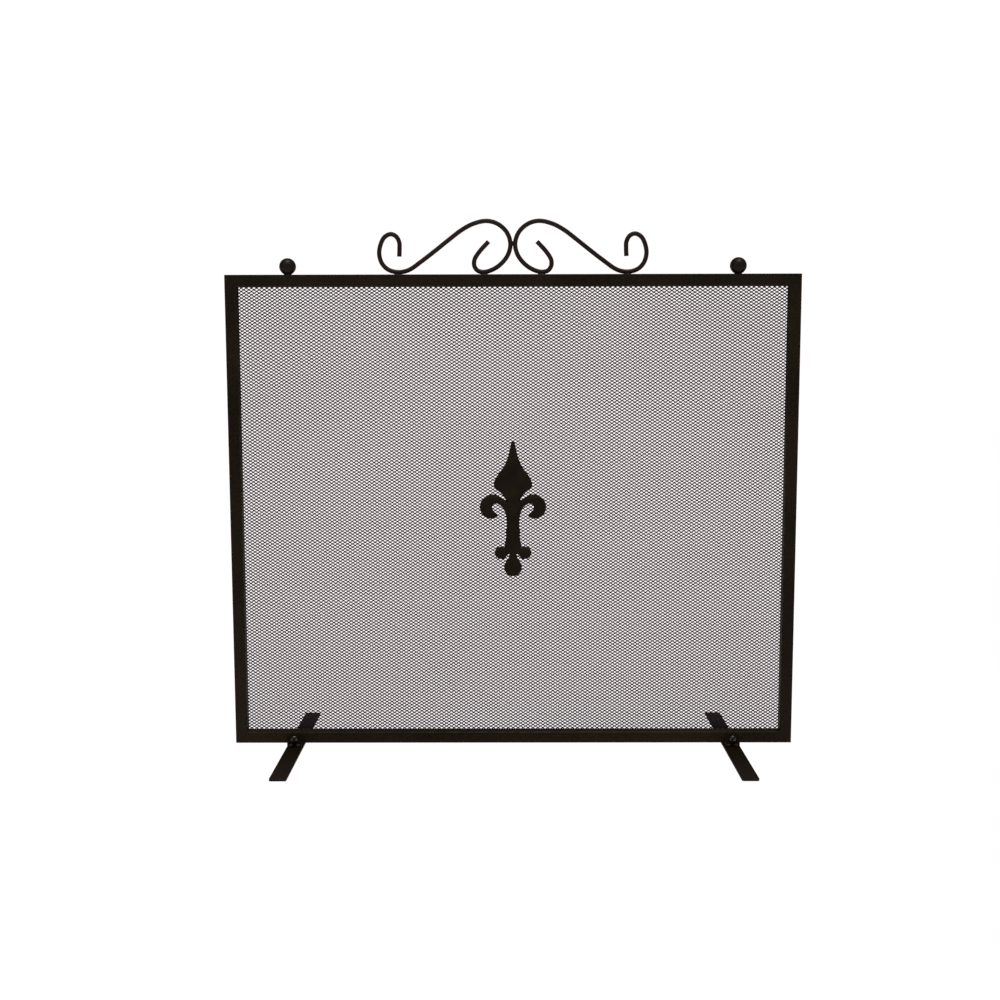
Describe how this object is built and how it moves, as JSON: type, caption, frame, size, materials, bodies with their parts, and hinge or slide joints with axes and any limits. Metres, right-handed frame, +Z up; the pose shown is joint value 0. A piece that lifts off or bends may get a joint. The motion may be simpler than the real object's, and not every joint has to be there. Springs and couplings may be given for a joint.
{
  "type": "fireplace screen",
  "caption": "Flat single-panel fireplace screen: square-tube frame with expanded-metal mesh, cast fleur-de-lis, bent-rod scrolls, ball finials and flat-bar feet.",
  "frame": {"origin": "on the floor, midway between the two feet and midway along their length; the back face of the tube frame is the plane Y = 0", "axes": "+X to the right seen from the room, +Y away from the room towards the fire, +Z up; the decorated front faces -Y"},
  "size_m": [0.762, 0.3048, 0.7155],
  "materials": {
    "frame": "satin warm-black powder coat",
    "foot": "satin warm-black powder coat",
    "ornament": "satin warm-black powder coat",
    "mesh": "matte purplish-black paint on expanded steel",
    "casting": "matte black paint over a sand-cast surface",
    "fastener": "black-oxide steel, semi-gloss"
  },
  "bodies": {
    "root": {"ball_finial_left": "ornament", "ball_finial_right": "ornament", "bottom_rail": "frame", "emblem_screw_lower": "fastener", "emblem_screw_upper": "fastener", "emblem_washer_lower": "fastener", "emblem_washer_upper": "fastener", "finial_pin_left": "ornament", "finial_pin_right": "ornament", "fleur_de_lis": "casting", "foot_bar_left": "foot", "foot_bar_right": "foot", "foot_insert_left": "fastener", "foot_insert_right": "fastener", "foot_screw_left": "fastener", "foot_screw_right": "fastener", "foot_tab_left": "foot", "foot_tab_right": "foot", "left_stile": "frame", "mesh_panel": "mesh", "right_stile": "frame", "scroll_left": "ornament", "scroll_right": "ornament", "strip_bottom": "frame", "strip_left": "frame", "strip_right": "frame", "strip_screw_bottom_1": "fastener", "strip_screw_bottom_2": "fastener", "strip_screw_bottom_3": "fastener", "strip_screw_bottom_4": "fastener", "strip_screw_bottom_5": "fastener", "strip_screw_left_1": "fastener", "strip_screw_left_2": "fastener", "strip_screw_left_3": "fastener", "strip_screw_left_4": "fastener", "strip_screw_right_1": "fastener", "strip_screw_right_2": "fastener", "strip_screw_right_3": "fastener", "strip_screw_right_4": "fastener", "strip_screw_top_1": "fastener", "strip_screw_top_2": "fastener", "strip_screw_top_3": "fastener", "strip_screw_top_4": "fastener", "strip_screw_top_5": "fastener", "strip_top": "frame", "top_rail": "frame"}
  },
  "joints": []
}
